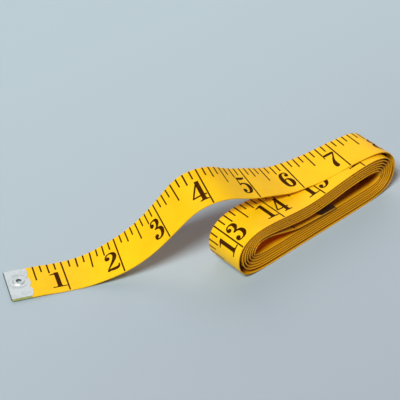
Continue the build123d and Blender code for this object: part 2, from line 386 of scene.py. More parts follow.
def bend_points(x, inward, low, high, low_round, high_round):
    """Control points of the bend at one end of a turn, from the table up, in millimetres."""
    low_cut, high_cut = (CORNER_CUT * (share * (high - low)) for share in (low_round, high_round))
    return [
        (x + inward * low_cut, low),
        (x, low + low_cut),
        (x, high - high_cut),
        (x + inward * high_cut, high),
    ]


def stepped(steps, layer):
    """How far a layer lies inside the outermost one."""
    return steps[0] + (layer - 1) * steps[1] if layer > 0 else 0


def left_bend(layer):
    """Control points of a layer's left bend, from the table up."""
    low, high = LOWEST + stepped(STEPS_BOTTOM, layer), LEFT_TOP - LEFT_DROP * layer
    return bend_points(LEFT_END + stepped(STEPS_LEFT, layer), 1, low, high, *LEFT_ROUND)


def right_bend(layer):
    """Control points of a layer's right bend, down to the table."""
    low, high = LOWEST + stepped(STEPS_BOTTOM, layer), RIGHT_TOP - stepped(STEPS_TOP, layer)
    return bend_points(RIGHT_END - stepped(STEPS_RIGHT, layer), -1, low, high, *RIGHT_ROUND)[::-1]


def top_run(layer):
    """Control points over the top of a layer: a crest, the waist and the higher crest."""
    left, waist, right = ((x, height - drop * layer) for x, height, drop in CRESTS)
    between = [((a[0] + b[0]) / 2, (a[1] + b[1]) / 2) for a, b in ((left, waist), (waist, right))]
    return [left, between[0], waist, between[1], right]


def hank_points(ribbon, lift, end):
    """Control points of the wound turns, from the lift mark to the inner end."""
    stray = random.Random(ribbon.seed)
    outer = [(0, lift.z / MM), *OUTER_RUN, *right_bend(0)]
    runs = [0.0]
    for a, b in zip(outer, outer[1:]):
        runs.append(runs[-1] + math.dist(a, b))
    whole = runs[-1] + outer[-1][0] - BOTTOM_REACH
    points = [
        Vector((x, ribbon.skew / MM * (1 - run / whole) ** SKEW_FADE, z)) for (x, z), run in zip(outer, runs)
    ]
    loose = ribbon.looseness / MM
    for turn in range(TURNS):
        low = LOWEST + stepped(STEPS_BOTTOM, turn)
        layer = [(BOTTOM_REACH, low), (0, low), (-BOTTOM_REACH, low)] + left_bend(turn)
        if turn < TURNS - 1:
            layer += top_run(turn) + right_bend(turn + 1)
        for x, z in layer:
            up = stray.uniform(-1, 1) * loose if z > ON_TABLE else 0
            back = turn * (UPPER_SET if z > EYE_HEIGHT else LOWER_SET) + stray.uniform(-1, 1) * loose
            points.append(Vector((x + stray.uniform(-1, 1) * loose, back, z + up)))
    last = end.x / MM
    straight = [(x, end.z / MM + (last - x) * INNER_FALL) for x in (*INNER_STRAIGHT, last - 4, last)]
    points += [Vector((x, 0, z)) for x, z in (*INNER_RUN, *straight)]
    return [p * MM for p in points]


def hank_line(ribbon, lift, end):
    """The wound turns on one smooth spline."""
    points = hank_points(ribbon, lift, end)
    curve = bpy.data.curves.new("hank_route", "CURVE")
    curve.dimensions = "3D"
    spline = curve.splines.new("NURBS")
    spline.points.add(len(points) - 1)
    for point, place in zip(spline.points, points):
        point.co = (*place, 1)
    spline.order_u = 4
    spline.use_endpoint_u = True
    spline.resolution_u = 16
    route = bpy.data.objects.new("hank_route", curve)
    mesh = bpy.data.meshes.new_from_object(route)
    centre = np.array([v.co for v in mesh.vertices], float)
    bpy.data.objects.remove(route)
    bpy.data.curves.remove(curve)
    bpy.data.meshes.remove(mesh)
    along = np.gradient(centre, axis=0)
    along /= np.linalg.norm(along, axis=1)[:, None]
    side = np.array([0.0, 1.0, 0.0])
    across = side - along * (along @ side)[:, None]
    across /= np.linalg.norm(across, axis=1)[:, None]
    run = np.concatenate([[0], np.cumsum(np.linalg.norm(np.diff(centre, axis=0), axis=1))])
    roll = np.radians(FREE_ROLL[-1]) * (1 - eased(run / ROLL_FADE))[:, None]
    across = across * np.cos(roll) + np.cross(along, across) * np.sin(roll)
    return run, centre, along, across


def middle_of(name):
    """Middle of a node's box."""
    low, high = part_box(name)
    return [(a + b) / 2 for a, b in zip(low, high)]


def tape_line(ribbon):
    """The whole ribbon from the front end to the inner end, with the wound length set to the scale."""
    place, centre, along, across = free_line(ribbon)
    x, _, z = middle_of("rear_eyelet")
    end = Vector((x + EYELET_REACH, 0, z - EYELET_OVER - EYELET_REACH * INNER_FALL))
    run, wound, wound_along, wound_across = hank_line(ribbon, Vector(centre[-1]), end)
    left = ribbon.length - place[-1]
    run = place[-1] + run * left / run[-1]
    return TapeLine(
        np.concatenate([place, run[1:]]), np.vstack([centre, wound[1:]]),
        np.vstack([along, wound_along[1:]]), np.vstack([across, wound_across[1:]]),
    )


def deselect():
    """Leaves edit mode and deselects everything."""
    if bpy.context.object and bpy.context.object.mode != "OBJECT":
        bpy.ops.object.mode_set(mode="OBJECT")
    bpy.ops.object.select_all(action="DESELECT")


def take(piece):
    """Makes a piece the only selected and active one."""
    deselect()
    piece.select_set(True)
    bpy.context.view_layer.objects.active = piece
    return piece


def apply_modifier(piece, kind, **values):
    """Adds a modifier with its values to a piece and applies it."""
    take(piece)
    bpy.ops.object.modifier_add(type=kind)
    modifier = piece.modifiers[-1]
    for name, value in values.items():
        setattr(modifier, name, value)
    bpy.ops.object.modifier_apply(modifier=modifier.name)


def turn_outward(piece):
    """Turns the faces of a closed piece outward."""
    take(piece)
    bpy.ops.object.mode_set(mode="EDIT")
    bpy.ops.mesh.select_all(action="SELECT")
    bpy.ops.mesh.normals_make_consistent(inside=False)
    bpy.ops.object.mode_set(mode="OBJECT")


def shade_smooth(piece, degrees):
    """Shades a piece smooth, but for the edges that are sharper than an angle."""
    take(piece)
    bpy.ops.object.shade_smooth_by_angle(angle=math.radians(degrees))


def new_piece(name, vertices, faces, material):
    """A piece made of vertices and faces."""
    mesh = bpy.data.meshes.new(name)
    mesh.from_pydata([tuple(v) for v in vertices], [], faces)
    mesh.materials.append(material)
    piece = bpy.data.objects.new(name, mesh)
    bpy.context.scene.collection.objects.link(piece)
    return piece


def ribbon_section(ribbon):
    """Outline of the ribbon's section: places across and heights, with rounded edges."""
    half, top, radius = ribbon.width / 2, ribbon.thickness / 2, ribbon.edge_radius
    columns = np.linspace(-half + radius, half - radius, 7)
    outline = [(w, top) for w in columns]
    for step in (1, 2, 3):
        angle = math.pi / 2 * step / 3
        outline.append((half - radius + radius * math.sin(angle), top - radius + radius * math.cos(angle)))
    outline += [(-w, -h) for w, h in outline]
    return np.array(outline)


def make_ribbon(name, line, ribbon, start, end, material):
    """One stretch of the ribbon as a closed piece, with a map of its length and width."""
    section = ribbon_section(ribbon)
    inside = line.place[(line.place > start + ROW_GAP) & (line.place < end - ROW_GAP)]
    places = np.concatenate([[start], inside, [end]])
    centre, across, outward = line.at(places)
    rows, columns = len(places), len(section)
    vertices = (
        centre[:, None] + across[:, None] * section[None, :, :1] + outward[:, None] * section[None, :, 1:]
    ).reshape(-1, 3)
    faces = []
    for i in range(rows - 1):
        for k in range(columns):
            after = (k + 1) % columns
            faces.append((i * columns + k, i * columns + after, (i + 1) * columns + after, (i + 1) * columns + k))
    faces.append(tuple(range(columns - 1, -1, -1)))
    faces.append(tuple((rows - 1) * columns + k for k in range(columns)))
    piece = new_piece(name, vertices, faces, material)
    mesh = piece.data
    layer = mesh.uv_layers.new(name="tape")
    index = np.empty(len(mesh.loops), np.int32)
    mesh.loops.foreach_get("vertex_index", index)
    u = places[index // columns] / ribbon.length
    v = section[index % columns, 0] / ribbon.width + 0.5
    layer.uv.foreach_set("vector", np.stack([u, v], axis=1).astype(np.float32).ravel())
    reverse = mesh.attributes.new("reverse", "FLOAT", "POINT")
    reverse.data.foreach_set("value", np.tile(section[:, 1] < 0, rows).astype(np.float32))
    turn_outward(piece)
    shade_smooth(piece, 55)
    return piece


def punch(piece, place, radius):
    """Punches an upright hole for an eyelet through a ribbon."""
    deselect()
    bpy.ops.mesh.primitive_cylinder_add(vertices=32, radius=radius, depth=PUNCH_DEPTH, location=place)
    tool = bpy.context.object
    apply_modifier(piece, "BOOLEAN", object=tool, operation="DIFFERENCE", solver="MANIFOLD")
    bpy.data.objects.remove(tool)


def bend_pair(line, marks):
    """Points on the ribbon where a bend starts and ends."""
    centre, _, _ = line.at(np.array(marks) * INCH)
    return [tuple(p) for p in centre]


def hold_free(piece, line, mark):
    """Attaches a piece of the hank to the hank's body. For a piece of the free end it works out the points of the bend
    that its stretch crosses, without using them, and bakes its transform into its vertices.
    """
    if mark >= WOUND_SEAM:
        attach(piece, "hank")
    elif mark >= LAID_SEAM:
        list(bend_pair(line, LIFT_BEND))
        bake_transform(piece)
    else:
        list(bend_pair(line, CURL_BEND))
        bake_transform(piece)


class SEWINGTAPE_OT_wind_ribbon(bpy.types.Operator):
    """Winds the ribbon: the hank, the arch and the end that lies on the table"""

    bl_idname = "sewing_tape.wind_ribbon"
    bl_label = "Wind ribbon"

    def execute(self, context):
        ribbon = context.scene.sewing_tape.ribbon
        line = tape_line(ribbon)
        coating = coated_ribbon(ribbon)
        for name, start, end in STRETCHES:
            piece = make_ribbon(f"ribbon_{name}", line, ribbon, start * INCH, end * INCH, coating)
            if name != "arch":
                tip = "rear" if name == "hank" else "front"
                punch(piece, middle_of(f"{tip}_eyelet"), ribbon.hole)
            hold_free(piece, line, start)
            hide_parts(f"tape_{name}")
        return {"FINISHED"}


# Numerals are drawn one unit high. A stroke is a row of (x, y, half width), a ball is (x, y, radius), a bar is
# (left, low, right, high), and a bowl is (x, y, half width, half height, thin, thick).
NUMERALS = {
    "0": {"width": 0.60, "bowls": [(0.30, 0.50, 0.205, 0.462, 0.036, 0.10)]},
    "1": {
        "width": 0.58,
        "strokes": [
            [(0.31, 0.04, 0.09), (0.31, 0.98, 0.09)],
            [(0.36, 0.945, 0.045), (0.20, 0.895, 0.042), (0.03, 0.865, 0.022)],
            [(0.31, 0.11, 0.085), (0.31, 0.055, 0.135), (0.31, 0.01, 0.195)],
        ],
        "bars": [(0.03, 0.0, 0.59, 0.06)],
    },
    "2": {
        "width": 0.60,
        "strokes": [
            [(0.055, 0.745, 0.028), (0.12, 0.90, 0.036), (0.27, 0.967, 0.034), (0.42, 0.90, 0.07),
             (0.465, 0.74, 0.092), (0.39, 0.56, 0.08), (0.24, 0.36, 0.05), (0.10, 0.17, 0.032), (0.045, 0.04, 0.03)],
            [(0.045, 0.05, 0.045), (0.16, 0.095, 0.062), (0.33, 0.08, 0.078), (0.47, 0.09, 0.07),
             (0.535, 0.17, 0.04), (0.55, 0.27, 0.022)],
        ],
        "balls": [(0.14, 0.73, 0.105)],
    },
    "3": {
        "width": 0.58,
        "strokes": [
            [(0.055, 0.79, 0.026), (0.13, 0.93, 0.036), (0.26, 0.968, 0.033), (0.40, 0.90, 0.07),
             (0.425, 0.75, 0.088), (0.33, 0.595, 0.05), (0.19, 0.545, 0.03)],
            [(0.19, 0.535, 0.03), (0.35, 0.505, 0.046), (0.465, 0.40, 0.08), (0.475, 0.23, 0.092),
             (0.38, 0.08, 0.066), (0.24, 0.032, 0.034), (0.11, 0.075, 0.036), (0.05, 0.17, 0.026)],
        ],
        "balls": [(0.135, 0.775, 0.098), (0.135, 0.20, 0.10)],
    },
    "4": {
        "width": 0.62,
        "strokes": [
            [(0.445, 0.03, 0.088), (0.445, 0.97, 0.088)],
            [(0.44, 0.965, 0.035), (0.055, 0.285, 0.035)],
            [(0.445, 0.10, 0.088), (0.445, 0.05, 0.13), (0.445, 0.02, 0.17)],
        ],
        "bars": [(0.02, 0.235, 0.62, 0.305), (0.25, 0.0, 0.64, 0.055), (0.36, 0.94, 0.533, 1.0)],
    },
    "5": {
        "width": 0.58,
        "strokes": [
            [(0.085, 0.935, 0.062), (0.24, 0.915, 0.076), (0.40, 0.93, 0.062), (0.50, 0.985, 0.02)],
            [(0.10, 0.98, 0.028), (0.09, 0.75, 0.028), (0.085, 0.50, 0.03)],
            [(0.085, 0.52, 0.03), (0.18, 0.605, 0.036), (0.31, 0.615, 0.042), (0.44, 0.525, 0.08),
             (0.48, 0.34, 0.094), (0.42, 0.14, 0.076), (0.28, 0.033, 0.036), (0.13, 0.05, 0.034), (0.05, 0.15, 0.026)],
        ],
        "balls": [(0.135, 0.185, 0.10)],
    },
    "6": {
        "width": 0.60,
        "strokes": [
            [(0.505, 0.80, 0.024), (0.44, 0.935, 0.036), (0.32, 0.967, 0.036), (0.18, 0.87, 0.072),
             (0.115, 0.64, 0.096), (0.115, 0.36, 0.096), (0.17, 0.14, 0.076), (0.30, 0.036, 0.036)],
            [(0.29, 0.036, 0.036), (0.42, 0.11, 0.074), (0.47, 0.30, 0.094), (0.42, 0.49, 0.074),
             (0.30, 0.562, 0.036), (0.19, 0.50, 0.034), (0.14, 0.40, 0.03)],
        ],
        "balls": [(0.425, 0.785, 0.092)],
    },
    "7": {
        "width": 0.58,
        "strokes": [
            [(0.07, 0.915, 0.055), (0.22, 0.925, 0.074), (0.40, 0.925, 0.066), (0.55, 0.955, 0.045)],
            [(0.065, 0.99, 0.022), (0.045, 0.74, 0.022)],
            [(0.545, 0.965, 0.035), (0.43, 0.72, 0.036), (0.31, 0.50, 0.055), (0.245, 0.28, 0.09), (0.245, 0.10, 0.10)],
        ],
        "balls": [(0.245, 0.10, 0.10)],
    },
    "8": {
        "width": 0.60,
        "bowls": [(0.30, 0.755, 0.165, 0.21, 0.036, 0.085), (0.30, 0.275, 0.20, 0.24, 0.036, 0.10)],
    },
}


def smooth_stroke(points, steps=6):
    """Places and half widths along a stroke, through its points."""
    points = np.array(points, float)
    if len(points) == 2:
        return points
    last = len(points) - 1
    rows = []
    for first in range(last):
        around = [points[min(max(first + k, 0), last)] for k in (-1, 0, 1, 2)]
        rows += [curve_between(*around, u) for u in np.arange(steps) / steps]
    return np.array(rows + [points[-1]])


def stroke_sides(rows, closed=False):
    """The two sides of a stroke."""
    if closed:
        way = np.roll(rows[:, :2], -1, axis=0) - np.roll(rows[:, :2], 1, axis=0)
    else:
        way = np.gradient(rows[:, :2], axis=0)
    way /= np.linalg.norm(way, axis=1)[:, None]
    side = np.stack([-way[:, 1], way[:, 0]], axis=1) * rows[:, 2:]
    return rows[:, :2] + side, rows[:, :2] - side


def add_slab(mesh, rings, closed):
    """Adds a flat slab of quads between two sides."""
    left, right = rings
    columns = []
    for x, y in zip(left, right):
        columns.append([mesh.verts.new((*p, h)) for p in (x, y) for h in (-0.5, 0.5)])
    pairs = list(zip(columns, columns[1:])) + ([(columns[-1], columns[0])] if closed else [])
    for a, b in pairs:
        mesh.faces.new((a[1], a[3], b[3], b[1]))
        mesh.faces.new((a[0], b[0], b[2], a[2]))
        mesh.faces.new((a[0], a[1], b[1], b[0]))
        mesh.faces.new((a[2], b[2], b[3], a[3]))
    if not closed:
        for c in (columns[0], columns[-1]):
            order = (0, 2, 3, 1) if c is columns[0] else (0, 1, 3, 2)
            mesh.faces.new([c[k] for k in order])


def add_ball(mesh, x, y, radius, count=16):
    """Adds a flat round slab."""
    turns = [2 * math.pi * k / count for k in range(count)]
    ring = [(x + radius * math.cos(t), y + radius * math.sin(t)) for t in turns]
    rows = [[mesh.verts.new((*p, h)) for p in ring] for h in (-0.5, 0.5)]
    mesh.faces.new(rows[1])
    mesh.faces.new(rows[0][::-1])
    for k in range(count):
        after = (k + 1) % count
        mesh.faces.new((rows[0][k], rows[0][after], rows[1][after], rows[1][k]))


def cut_numeral(digit, slices):
    """Vertices and faces of one numeral, its strokes joined and cut into strips that can follow a bend."""
    drawing = NUMERALS["6" if digit == "9" else digit]
    form = bmesh.new()
    for stroke in drawing.get("strokes", []):
        add_slab(form, stroke_sides(smooth_stroke(stroke)), False)
    for x, y, wide, high, thin, thick in drawing.get("bowls", []):
        turn = np.linspace(0, 2 * math.pi, 32, endpoint=False)
        half = thin + (thick - thin) * np.cos(turn) ** 2
        rows = np.stack([x + wide * np.cos(turn), y + high * np.sin(turn), half], axis=1)
        add_slab(form, stroke_sides(rows, True), True)
    for left, low, right, high in drawing.get("bars", []):
        middle = (low + high) / 2
        rows = np.array([(left, middle, (high - low) / 2), (right, middle, (high - low) / 2)])
        add_slab(form, stroke_sides(rows), False)
    for ball in drawing.get("balls", []):
        add_ball(form, *ball)
    bmesh.ops.recalc_face_normals(form, faces=form.faces)
    mesh = bpy.data.meshes.new("numeral")
    form.to_mesh(mesh)
    form.free()
    pattern = bpy.data.objects.new("numeral", mesh)
    bpy.context.scene.collection.objects.link(pattern)
    take(pattern)
    bpy.ops.object.mode_set(mode="EDIT")
    bpy.ops.mesh.select_all(action="SELECT")
    bpy.ops.mesh.intersect_boolean(operation="UNION", use_self=True, threshold=1e-6, solver="EXACT")
    bpy.ops.mesh.select_all(action="SELECT")
    bpy.ops.mesh.remove_doubles(threshold=0.002)
    bpy.ops.mesh.dissolve_limited(angle_limit=math.radians(2))
    bpy.ops.mesh.delete_loose()
    for k in range(1, slices):
        bpy.ops.mesh.select_all(action="SELECT")
        bpy.ops.mesh.bisect(plane_co=(drawing["width"] * k / slices, 0, 0), plane_no=(1, 0, 0))
    bpy.ops.object.mode_set(mode="OBJECT")
    if digit == "9":
        mesh.transform(Matrix.Translation((drawing["width"], 1, 0)) @ Matrix.Rotation(math.pi, 4, "Z"))
    vertices = np.array([v.co for v in mesh.vertices])
    faces = [tuple(f.vertices) for f in mesh.polygons]
    bpy.data.objects.remove(pattern)
    bpy.data.meshes.remove(mesh)
    return vertices, faces, drawing["width"]


# A tick of unit size that hangs from its top: vertices and faces
TICK = (
    np.array([(x, y, h) for x in (-0.5, 0.5) for y in (0, -1) for h in (-0.5, 0.5)]),
    [(0, 2, 3, 1), (4, 5, 7, 6), (0, 1, 5, 4), (2, 6, 7, 3), (0, 4, 6, 2), (1, 3, 7, 5)],
)


class InkSheet:
    """Marks of one scale, gathered flat and then laid on the ribbon."""

    def __init__(self, line, ribbon, film, reverse):
        self.line, self.ribbon, self.film, self.reverse = line, ribbon, film, reverse
        self.marks = {name: [[], [], 0] for name, _, _ in STRETCHES}

    def distance(self, place):
        """Distance from the front end. The scale on the reverse starts at the inner end."""
        return self.ribbon.length - place if self.reverse else place

    def add(self, vertices, faces, place):
        """Adds a mark whose vertices are (distance along, place across, height)."""
        mark = self.distance(place) / INCH
        name = next(n for n, start, _ in STRETCHES if mark > start + SEAM_SLACK or start == 0)
        points, found, count = self.marks[name]
        points.append(vertices)
        found += [tuple(i + count for i in f) for f in faces]
        self.marks[name][2] = count + len(vertices)

    def tick(self, place, length, thickness, top):
        """Adds a tick that hangs from a place across the ribbon."""
        corners = TICK[0] * (thickness, length, 2 * self.film) + (place, top, 0)
        self.add(corners, TICK[1], place)

    def numeral(self, shape, place, low, width, height):
        """Adds a numeral that stands on a place across the ribbon."""
        vertices = shape[0] * (width, height, 2 * self.film) + (place, low, 0)
        self.add(vertices, shape[1], place)

    def lay(self, kind, material):
        """Makes the pieces of ink, one on each stretch of the ribbon."""
        side = -1 if self.reverse else 1
        for name, start, _ in STRETCHES:
            points, faces, _ = self.marks[name]
            flat = np.vstack(points)
            centre, across, outward = self.line.at(self.distance(flat[:, 0]))
            rise = self.ribbon.thickness / 2 + flat[:, 2:]
            piece = new_piece(
                f"{kind}_{name}", centre + across * flat[:, 1:2] + outward * rise * side, faces, material
            )
            shade_smooth(piece, 40)
            hold_free(piece, self.line, start)


class SEWINGTAPE_OT_print_inches(bpy.types.Operator):
    """Prints the inch scale on the outer face"""

    bl_idname = "sewing_tape.print_inches"
    bl_label = "Print inches"

    def execute(self, context):
        settings = context.scene.sewing_tape
        ribbon, scale = settings.ribbon, settings.scale
        sheet = InkSheet(tape_line(ribbon), ribbon, scale.film, False)
        numerals = {digit: cut_numeral(digit, slices=7) for digit in "0123456789"}
        top = ribbon.width / 2 - scale.margin
        for eighth in range(FIRST_EIGHTH, INCHES * 8 - FIRST_EIGHTH + 1):
            length = INCH_MARKS.get(eighth % 8, EIGHTH_MARK) * ribbon.width
            length -= scale.margin + (scale.near_margin if eighth % 8 == 0 else 0)
            sheet.tick(eighth * INCH / 8, length, scale.line, top)
        height, width, gap = scale.numeral, scale.numeral * scale.numeral_width, scale.numeral_gap
        low = scale.numeral_centre - height / 2
        for mark in range(1, INCHES):
            digits = [numerals[d] for d in str(mark)]
            sheet.numeral(digits[0], mark * INCH - gap - digits[0][2] * width, low, width, height)
            if len(digits) > 1:
                sheet.numeral(digits[1], mark * INCH + gap, low, width, height)
        sheet.lay("inch_print", printing_ink(scale))
        return {"FINISHED"}


class SEWINGTAPE_OT_print_centimetres(bpy.types.Operator):
    """Prints the metric scale on the reverse face"""

    bl_idname = "sewing_tape.print_centimetres"
    bl_label = "Print centimetres"

    def execute(self, context):
        settings = context.scene.sewing_tape
        ribbon, scale = settings.ribbon, settings.scale
        sheet = InkSheet(tape_line(ribbon), ribbon, scale.film, True)
        numerals = {digit: cut_numeral(digit, slices=4) for digit in "0123456789"}
        top = ribbon.width / 2 - scale.margin
        for millimetre in range(FIRST_MILLIMETRE, round(ribbon.length / MM) - FIRST_MILLIMETRE):
            length = METRIC_MARKS.get(millimetre % 10, MILLIMETRE_MARK)
            sheet.tick(millimetre * MM, length, scale.metric_line, top)
        height = scale.metric_numeral
        first, last = METRIC_NUMERALS
        for mark in range(first, last + 1):
            digits = [numerals[d] for d in str(mark)]
            width = height * (METRIC_STRETCH if len(digits) < 3 else NARROW_STRETCH)
            place = mark * 10 * MM - sum(d[2] for d in digits) * width / 2
            for digit in digits:
                sheet.numeral(digit, place, scale.metric_low, width, height)
                place += digit[2] * width
        sheet.lay("metric_print", printing_ink(scale))
        return {"FINISHED"}


def tip_places(line, ribbon):
    """Where each metal end sits: its fold, the way along its leaves and the way up."""
    centre, across, outward = line.at(np.array([0.0, ribbon.length]))
    along = np.cross(across, outward)
    return {
        "front": (centre[0], along[0], across[0], outward[0]),
        "rear": (centre[1], -along[1], -across[1], outward[1]),
    }


def press_tip(name, place, ribbon, metal, material):
    """One metal end: a sheet folded round the ribbon, scalloped, with a ring pressed round the eyelet."""
    leaf, fold, columns = 40, 10, 72
    half = ribbon.width / 2 - metal.inset
    pitch = 2 * half / metal.scallops
    arc = (pitch * pitch / 4 + metal.scallop_depth**2) / (2 * metal.scallop_depth)
    level = ribbon.thickness / 2 + metal.sheet / 2
    deselect()
    bpy.ops.mesh.primitive_grid_add(x_subdivisions=2 * leaf + fold, y_subdivisions=columns, size=1)
    tip = bpy.context.object
    tip.name = tip.data.name = f"{name}_tip_sheet"
    origin, along, across, up = (Vector(v) for v in place)
    inside = set()
    # How dark the sheet is painted round the fold
    grime = tip.data.attributes.new("grime", "FLOAT", "POINT")
    for vertex in tip.data.vertices:
        row = round((vertex.co.x + 0.5) * (2 * leaf + fold))
        y = vertex.co.y * 2 * half
        off = (y + half) % pitch - pitch / 2
        if abs(y) > half - 1e-6:
            off = pitch / 2
        edge = metal.length - arc + math.sqrt(arc * arc - off * off)
        y += metal.shift
        if row <= leaf:
            x, z, side = edge * (1 - row / leaf), level, 1
        elif row < leaf + fold:
            angle = math.pi * (row - leaf) / fold
            x, z, side = -level * math.sin(angle), level * math.cos(angle), 0
            # Darker towards the middle of the fold
            grime.data[vertex.index].value = math.sin(angle) ** 0.5
        else:
            x, z, side = edge * (row - leaf - fold) / leaf, -level, -1
        away = math.dist((x, y), (EYELET_REACH, EYELET_SIDE))
        if side:
            ring = math.exp(-(((away - metal.ring_radius) / metal.ring_width) ** 2)) * min(1, x / RING_RISE)
            lip = math.exp(-(((edge - x) / metal.lip_width) ** 2)) * LIP_SHARE
            z += side * metal.ring_height * (ring * (side > 0) + lip)
            if away < metal.hole:
                inside.add(vertex.index)
        vertex.co = origin + along * x + across * y + up * z
    take(tip)
    bpy.ops.object.mode_set(mode="EDIT")
    bpy.ops.mesh.select_all(action="DESELECT")
    form = bmesh.from_edit_mesh(tip.data)
    bmesh.ops.delete(form, geom=[v for v in form.verts if v.index in inside], context="VERTS")
    bmesh.update_edit_mesh(tip.data)
    bpy.ops.object.mode_set(mode="OBJECT")
    tip.data.materials.append(material)
    apply_modifier(tip, "SOLIDIFY", thickness=metal.sheet, offset=0, use_even_offset=True)
    apply_modifier(
        tip, "BEVEL", width=metal.edge_radius, segments=2, limit_method="ANGLE", angle_limit=math.radians(60)
    )
    turn_outward(tip)
    shade_smooth(tip, 45)
    return tip


class SEWINGTAPE_OT_press_tips(bpy.types.Operator):
    """Presses the two metal ends round the ribbon"""

    bl_idname = "sewing_tape.press_tips"
    bl_label = "Press metal ends"

    def execute(self, context):
        settings = context.scene.sewing_tape
        ribbon, metal = settings.ribbon, settings.metal
        for name, place in tip_places(tape_line(ribbon), ribbon).items():
            tip = press_tip(name, place, ribbon, metal, nickel(name, "sheet", metal, SHEET_ROUGHNESS[name]))
            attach(tip, "flat_end" if name == "front" else "hank")
            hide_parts(f"{name}_tip")
        return {"FINISHED"}


class SEWINGTAPE_OT_finish_eyelets(bpy.types.Operator):
    """Gives the two eyelets their metal"""

    bl_idname = "sewing_tape.finish_eyelets"
    bl_label = "Finish eyelets"

    def execute(self, context):
        metal = context.scene.sewing_tape.metal
        for name, roughness in EYELET_ROUGHNESS.items():
            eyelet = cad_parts[f"{name}_eyelet"]
            eyelet.data.materials.clear()
            eyelet.data.materials.append(nickel(name, "eyelet", metal, roughness, middle_of(f"{name}_eyelet")))
        return {"FINISHED"}


class SEWINGTAPE_OT_declare_sheets(bpy.types.Operator):
    """Finishes without doing anything; no flat size is stated"""

    bl_idname = "sewing_tape.declare_sheets"
    bl_label = "State flat sizes"

    def execute(self, context):
        return {"FINISHED"}


def node(tree, kind, **values):
    """Adds a node, with its settings by name and its inputs by socket name."""
    made = tree.nodes.new(kind)
    for name, value in values.items():
        if name in made.inputs.keys():
            made.inputs[name].default_value = value
        else:
            setattr(made, name, value)
    return made


def maths(tree, operation, first, second=None):
    """Works out one or two values, each a socket or a number."""
    made = node(tree, "ShaderNodeMath", operation=operation)
    for socket, value in zip(made.inputs, (first, second)):
        if isinstance(value, bpy.types.NodeSocket):
            tree.links.new(value, socket)
        elif value is not None:
            socket.default_value = value
    return made.outputs[0]


def ranged(tree, value, low, high, to_low=0, to_high=1):
    """Takes a value softly from one range to another."""
    made = node(tree, "ShaderNodeMapRange", interpolation_type="SMOOTHSTEP")
    for name, limit in (("From Min", low), ("From Max", high), ("To Min", to_low), ("To Max", to_high)):
        made.inputs[name].default_value = limit
    tree.links.new(value, made.inputs["Value"])
    return made.outputs["Result"]


def mixed(tree, share, first, second):
    """Mixes two colours by a share."""
    made = node(tree, "ShaderNodeMix", data_type="RGBA")
    tree.links.new(share, made.inputs["Factor"])
    for socket, value in ((made.inputs[6], first), (made.inputs[7], second)):
        if isinstance(value, bpy.types.NodeSocket):
            tree.links.new(value, socket)
        else:
            socket.default_value = (*value, 1)
    return made.outputs[2]


def new_group(name, inputs, outputs):
    """A shader node group with named sockets, and its entry and exit."""
    tree = bpy.data.node_groups.new(name, "ShaderNodeTree")
    for socket, kind, value in inputs:
        made = tree.interface.new_socket(name=socket, in_out="INPUT", socket_type=kind)
        if value is not None:
            made.default_value = value
    for socket, kind in outputs:
        tree.interface.new_socket(name=socket, in_out="OUTPUT", socket_type=kind)
    return tree, tree.nodes.new("NodeGroupInput"), tree.nodes.new("NodeGroupOutput")


def handling_marks():
    """Soft blotches and fine rubs, for any handled surface. The vector is in metres."""
    if "Handling marks" in bpy.data.node_groups:
        return bpy.data.node_groups["Handling marks"]
    tree, entry, leave = new_group(
        "Handling marks",
        [("Vector", "NodeSocketVector", None), ("Blotch scale", "NodeSocketFloat", 60.0),
         ("Rub scale", "NodeSocketFloat", 900.0)],
        [("Blotches", "NodeSocketFloat"), ("Rubs", "NodeSocketFloat")],
    )
    for source, result, detail, low, high in (
        ("Blotch scale", "Blotches", 4.0, 0.34, 0.68), ("Rub scale", "Rubs", 6.0, 0.40, 0.64)
    ):
        noise = node(tree, "ShaderNodeTexNoise", Detail=detail, Roughness=0.6)
        tree.links.new(entry.outputs["Vector"], noise.inputs["Vector"])
        tree.links.new(entry.outputs[source], noise.inputs["Scale"])
        tree.links.new(ranged(tree, noise.outputs[0], low, high), leave.inputs[result])
    return tree


def woven_core():
    """Threads of the woven core under the coating. The vector counts threads along and across the ribbon."""
    if "Woven core" in bpy.data.node_groups:
        return bpy.data.node_groups["Woven core"]
    tree, entry, leave = new_group(
        "Woven core", [("Vector", "NodeSocketVector", None)], [("Height", "NodeSocketFloat")]
    )
    parts = node(tree, "ShaderNodeSeparateXYZ")
    tree.links.new(entry.outputs["Vector"], parts.inputs[0])
    waves = [maths(tree, "SINE", maths(tree, "MULTIPLY", parts.outputs[k], math.pi)) for k in (0, 1)]
    weave = maths(tree, "MULTIPLY", *waves)
    tree.links.new(maths(tree, "ABSOLUTE", weave), leave.inputs["Height"])
    return tree


def handled(tree, blotch_scale, rub_scale):
    """Places the handling marks in a material: its Object coordinates, blotches and rubs."""
    place = node(tree, "ShaderNodeTexCoord").outputs["Object"]
    marks = node(tree, "ShaderNodeGroup", node_tree=handling_marks())
    marks.inputs["Blotch scale"].default_value = blotch_scale
    marks.inputs["Rub scale"].default_value = rub_scale
    tree.links.new(place, marks.inputs["Vector"])
    return place, marks.outputs["Blotches"], marks.outputs["Rubs"]


def new_material(name):
    """A material with its nodes and its shader."""
    material = bpy.data.materials.new(name)
    material.use_nodes = True
    tree = material.node_tree
    return material, tree, tree.nodes["Principled BSDF"]


def bump(tree, shader, height, strength, distance):
    """Lets a height stand out of the surface."""
    made = node(tree, "ShaderNodeBump", Strength=strength, Distance=distance)
    tree.links.new(height, made.inputs["Height"])
    tree.links.new(made.outputs["Normal"], shader.inputs["Normal"])


